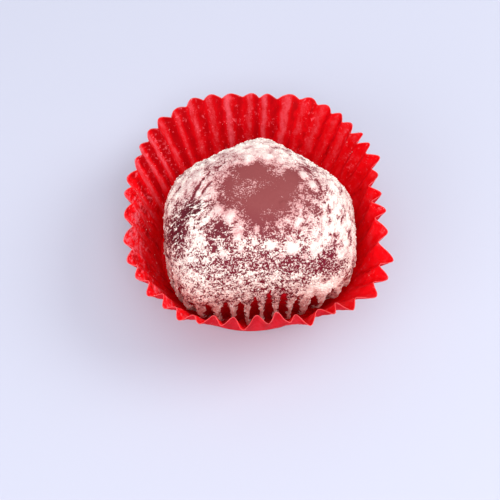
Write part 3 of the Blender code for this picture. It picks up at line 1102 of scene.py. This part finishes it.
def add_case():
    """The sheet: its outer face is the flat base and the worn wall with fine crinkles, and its
    inner face lies a paper's thickness inside. Gives the inner face and the dust on it, for
    the loose grains."""
    bearings = pleat_columns(CASE_COLUMNS_PER_PLEAT)[None, :]
    share = np.linspace(0.0, 1.0, CASE_WALL_ROWS)
    share = np.concatenate([share[:-1], [EDGE_ROW, 1.0]])[:, None]
    wall = worn_wall(bearings, share)
    base = wall[:1] * np.linspace(*CASE_BASE_SPAN, CASE_BASE_ROWS)[:, None, None]
    outer = np.concatenate([base, wall])
    climb = np.concatenate([np.zeros((CASE_BASE_ROWS, 1)), share]) + 0.0 * bearings
    crinkle = CRINKLE_DEPTH * layered_noise(outer * np.array(CRINKLE_SQUEEZE), *CRINKLES)
    crinkle = crinkle + WAVE_DEPTH * layered_noise(outer, *WAVES)
    normals = grid_normals(outer)
    outer = outer - normals * (crinkle * ease(climb, *CRINKLED_FROM))[..., None]
    inner = outer - normals * PAPER
    points = np.concatenate([outer, inner[::-1]])
    high = ease(climb, 0.25, 0.75)
    dust = round_the_turn(DUST_BY_BEARING, bearings) * (0.5 + 0.7 * high)
    dust = dust + 0.30 * layered_noise(outer, *DUST_CLOUDS)
    # Painted sheen up the lit side of each fold inside, and painted shade up the other side
    fold_sheen_and_shade = sheen_and_shade_on_folds(bearings, climb)
    # Painted shade inside, stronger towards the back
    painted_shade = round_the_turn(PAINTED_SHADE_BY_BEARING, bearings) + 0.0 * climb
    # Painted shade on the outward folds outside
    outward_folds = ease(np.cos(pleat_phase(bearings, climb)), -0.4, 0.8)
    outer_painted_shade = 0.75 * outward_folds * ease(climb, 0.1, 0.6)
    # Painted highlight along the cut edge
    lit_edge = (climb > 0.5 * (1.0 + EDGE_ROW)).astype(float)
    marks = {
        "inside": np.concatenate([0.0 * dust, 0.0 * dust + 1.0]),
        "dust": np.concatenate([0.2 * dust, dust[::-1]]),
        "fold_sheen_and_shade": np.concatenate([0.0 * fold_sheen_and_shade, fold_sheen_and_shade[::-1]]),
        "painted_shade": np.concatenate([outer_painted_shade, painted_shade[::-1]]),
        "lit_edge": np.concatenate([lit_edge, lit_edge[::-1]]),
    }
    case = closed_grid("fluted_case", points, (0.0, 0.0, 0.0), (0.0, 0.0, PAPER), marks)
    case.data.materials.append(red_paper())
    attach(case, "root")
    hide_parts("paper_case")
    return inner, dust


def add_flour_on_case(inner, dust):
    """Grains on the case's inner face above its base, more where it is dusty."""
    gathered = ease(layered_noise(inner, *GATHERED_FLOUR), 0.1, 0.9)
    share = (0.01 + gathered) * np.clip(dust, 0.15, 0.4) * (inner[..., 2] > 3.0)
    scatter_flour("stray_flour", inner, share, -1.0, *CASE_GRAINS)


def red_paper():
    """Red greaseproof paper, duller and darker outside, with shade painted on its outward folds
    there. Inside it has a painted sheen up one side of the folds and painted shade in deep red up
    the other, more painted shade towards the back, and fibres, scuffs, flour dust and a painted
    highlight along the edge."""
    paint = Paint("red_greaseproof_paper")
    fibres = paint.noise(FIBRES)
    patches = paint.noise(PATCHES)
    scuffs = paint.noise(SCUFFS, paint.drawn_out((0.0, 0.0, 1.0), 4.0))
    mottling = paint.noise(MOTTLING)
    inside = paint.mark("inside")
    # Painted sheen and shade on the folds, mottled by scuffs and patches
    fold_sheen_and_shade = paint.mark("fold_sheen_and_shade") + 2.2 * scuffs + 0.7 * patches
    powder = paint.ease(paint.mark("dust") + 3.4 * mottling + 0.8 * fibres, 0.40, 1.10)
    colour = paint.blend(paint.ease(patches, -0.15, 0.20), PAPER_RED, PAPER_LIGHT_RED)
    colour = paint.blend(inside, OUTER_RED, colour)
    # Painted shade: on the outward folds outside, and towards the back inside
    colour = paint.blend(paint.mark("painted_shade"), colour, PAINTED_SHADE_RED)
    # Painted shade up one side of each fold, then painted sheen up the other
    colour = paint.blend(paint.ease(0.0 - fold_sheen_and_shade, 0.0, 0.9), colour, PAINTED_SHADE_RED)
    colour = paint.blend(paint.ease(fold_sheen_and_shade + 1.3 * fibres, 0.0, 1.7), colour, PAINTED_SHEEN_PAPER)
    colour = paint.blend(0.65 * powder, colour, DUSTED_PAPER)
    # Painted highlight along the cut edge
    colour = paint.blend(0.25 * paint.mark("lit_edge"), colour, PAINTED_EDGE_HIGHLIGHT)
    return paint.finish({
        "Base Color": colour,
        "Roughness": 0.85 - 0.35 * inside + 0.35 * powder + 0.2 * fibres,
        "Specular IOR Level": 0.06,
        "Subsurface Weight": 0.6,
        "Subsurface Radius": (1.0, 0.25, 0.25),
        "Subsurface Scale": 0.0003,
        "Normal": paint.bump(fibres + 0.4 * powder, 0.05),
    })


# The floor's half width and how far it lies below the case, in metres
FLOOR_HALF_WIDTH = 2.0
FLOOR_DROP = 0.0002

# Square lamps that face the cake: name, place and size in metres, power and colour
LAMPS = (
    ("window", (0.62, 0.12, 0.55), 0.45, 3.6, (1.0, 0.98, 0.95)),
    ("ceiling", (0.02, -0.15, 0.85), 0.9, 1.9, (0.98, 0.97, 1.0)),
    ("front", (0.10, -0.55, 0.72), 0.4, 2.8, (1.0, 0.98, 0.97)),
    ("left", (-0.60, -0.50, 0.35), 0.7, 3.5, (1.0, 0.98, 0.98)),
)
ROOM_COLOUR = (0.95, 0.96, 1.0, 1.0)
ROOM_STRENGTH = 0.66


def add_floor():
    """A wide plain floor just below the case."""
    mesh = bpy.data.meshes.new("floor")
    half = FLOOR_HALF_WIDTH
    corners = [(-half, -half, 0), (half, -half, 0), (half, half, 0), (-half, half, 0)]
    mesh.from_pydata(corners, [], [(0, 1, 2, 3)])
    floor = bpy.data.objects.new("floor", mesh)
    floor.location.z = -FLOOR_DROP
    bpy.context.collection.objects.link(floor)
    paint = Paint("pale_floor")
    mesh.materials.append(paint.finish({"Base Color": FLOOR_GREY, "Roughness": 0.6}))


def add_light():
    """The lamps, and an even light from the room."""
    for name, place, size, power, colour in LAMPS:
        data = bpy.data.lights.new(name, "AREA")
        data.size = size
        data.energy = power
        data.color = colour
        lamp = bpy.data.objects.new(name, data)
        lamp.location = place
        lamp.rotation_euler = (-Vector(place)).to_track_quat("-Z", "Y").to_euler()
        bpy.context.collection.objects.link(lamp)
    world = bpy.data.worlds.new("soft_room")
    world.use_nodes = True
    background = world.node_tree.nodes["Background"]
    background.inputs["Color"].default_value = ROOM_COLOUR
    background.inputs["Strength"].default_value = ROOM_STRENGTH
    bpy.context.scene.world = world


def add_camera():
    """A camera that looks at its target from the photo's height and distance, with the lens
    that shows so many pixels a millimetre at the distance where that was measured."""
    data = bpy.data.cameras.new("camera")
    data.sensor_width = SENSOR_WIDTH_MM
    data.lens = PIXELS_PER_MM * SCALE_DISTANCE / PHOTO_WIDTH * SENSOR_WIDTH_MM
    data.clip_start = CAMERA_NEAREST * MM
    camera = bpy.data.objects.new("camera", data)
    lift = math.radians(CAMERA_ELEVATION_DEG)
    back = Vector((0.0, -math.cos(lift), math.sin(lift)))
    target = Vector((*(np.array(CAMERA_TARGET) + CASE_CENTRE[:2]), 0.0))
    camera.location = (target + back * CAMERA_DISTANCE) * MM
    camera.rotation_euler = back.to_track_quat("Z", "Y").to_euler()
    bpy.context.collection.objects.link(camera)
    bpy.context.scene.camera = camera


add_camera()
cake_points, cake_coat = add_cake()
add_flour_on_cake(cake_points, cake_coat)
case_inner, case_dust = add_case()
add_flour_on_case(case_inner, case_dust)
add_floor()
add_light()
bpy.context.scene.view_settings.view_transform = "Standard"
